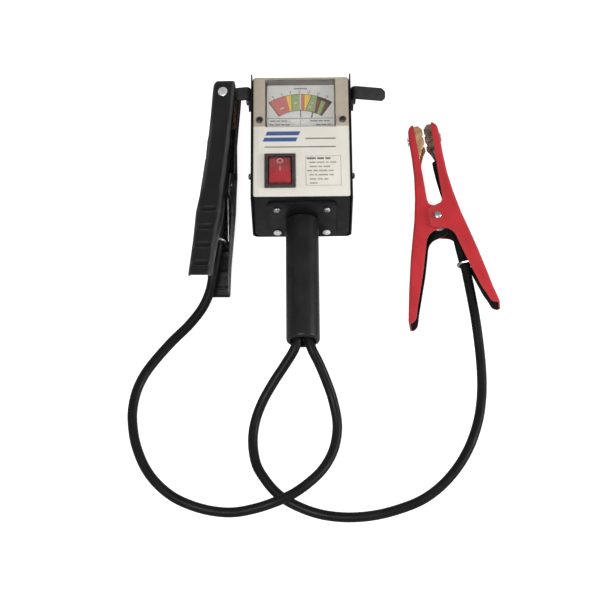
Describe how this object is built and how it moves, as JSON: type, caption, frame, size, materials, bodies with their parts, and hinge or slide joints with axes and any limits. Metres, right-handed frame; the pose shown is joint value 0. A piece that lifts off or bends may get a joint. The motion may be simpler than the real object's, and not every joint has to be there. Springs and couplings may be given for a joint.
{
  "type": "analogue battery load tester",
  "caption": "Handheld battery load tester: folded steel case with a needle meter and rocker switch, a round grip, and two cables ending in sprung sheet-metal clamps.",
  "frame": {"origin": "centre of the case's back, on the surface that the tester lies on", "axes": "+Z out of the case toward the meter face, the handle points along -Y, the bare parking tab is at +X"},
  "size_m": [0.3058, 0.371, 0.0765],
  "materials": {
    "face_label": "printed satin label over black painted steel",
    "case_black": "fine wrinkle paint",
    "dark_screw": "blackened steel",
    "zinc": "zinc plated",
    "grip_foam": "matt sleeve",
    "steel": "bare steel",
    "meter_black": "moulded",
    "dial": "printed card",
    "clear": "clear",
    "magnet": "ground",
    "brass": "stamped",
    "needle": "painted black",
    "copper": "copper plated",
    "rocker_red": "translucent",
    "ceramic": "unglazed ceramic",
    "nichrome": "oxidised wire",
    "cable_black": "flexible jacket",
    "wire_red": "flexible jacket",
    "clamp_red": "plastic dipped",
    "clamp_black": "plastic dipped"
  },
  "bodies": {
    "case": {"front_panel": "face_label", "rear_cover": "case_black", "cover_screw_left": "dark_screw", "cover_screw_right": "dark_screw", "tab_screw_left": "dark_screw", "tab_screw_right": "dark_screw", "parking_tab_left": "case_black", "parking_tab_right": "case_black", "handle_flange": "case_black", "flange_screw_top_left": "zinc", "flange_screw_top_right": "zinc", "flange_screw_low_left": "zinc", "flange_screw_low_right": "zinc", "handle_grip": "grip_foam", "handle_tube": "steel", "meter_case": "meter_black", "meter_dial": "dial", "meter_window": "clear", "meter_magnet": "magnet", "meter_bridge": "brass", "meter_screw_left": "dark_screw", "meter_screw_right": "dark_screw", "switch_body": "meter_black", "switch_terminal_near": "brass", "switch_terminal_far": "brass", "ceramic_bar_near": "ceramic", "ceramic_bar_far": "ceramic", "load_coil_left": "nichrome", "load_coil_right": "nichrome", "bus_bar": "brass", "heat_shield": "steel", "lead_negative": "cable_black", "lead_positive": "wire_red", "lead_switched": "wire_red", "sense_lead_negative": "cable_black", "sense_lead_positive": "wire_red", "red_cable_arm": "clamp_red", "red_cable_jaw": "copper", "red_cable_jaw_rivet": "zinc", "red_pivot_rivet": "zinc", "red_spring": "steel", "red_cable_strap": "zinc", "black_cable_arm": "clamp_black", "black_cable_jaw": "copper", "black_cable_jaw_rivet": "zinc", "black_pivot_rivet": "zinc", "black_spring": "steel", "black_cable_strap": "zinc", "cord_red": "cable_black", "cord_black": "cable_black"},
    "rocker": {"switch_rocker": "rocker_red"},
    "pointer": {"meter_needle": "needle", "meter_coil": "copper"},
    "red_jaw": {"red_moving_arm": "clamp_red", "red_moving_jaw": "copper", "red_moving_jaw_rivet": "zinc"},
    "black_jaw": {"black_moving_arm": "clamp_black", "black_moving_jaw": "copper", "black_moving_jaw_rivet": "zinc"}
  },
  "joints": [
    {"name": "rocker_hinge", "type": "hinge", "parent": "case", "child": "rocker", "pos_m": [-0.0176, -0.0332, 0.072], "axis": [1, 0, 0], "range_deg": [0, 16]},
    {"name": "needle_pivot", "type": "hinge", "parent": "case", "child": "pointer", "pos_m": [-0.0005, -0.0035, 0.06515], "axis": [0, 0, 1], "range_deg": [-34, 34], "stiffness_Nm_per_rad": 0.0001},
    {"name": "red_clamp_hinge", "type": "hinge", "parent": "case", "child": "red_jaw", "pos_m": [0.1146, -0.05, 0.0138], "axis": [-0.1211, -0.0138, 0.9925], "range_deg": [0, 28], "stiffness_Nm_per_rad": 0.8, "springref_deg": -34.38, "deforming": ["red_spring"]},
    {"name": "black_clamp_hinge", "type": "hinge", "parent": "case", "child": "black_jaw", "pos_m": [-0.0686, -0.031, 0.0455], "axis": [0.9805, -0.093, 0.1729], "range_deg": [0, 27], "stiffness_Nm_per_rad": 0.8, "springref_deg": -34.38, "deforming": ["black_spring"]}
  ]
}
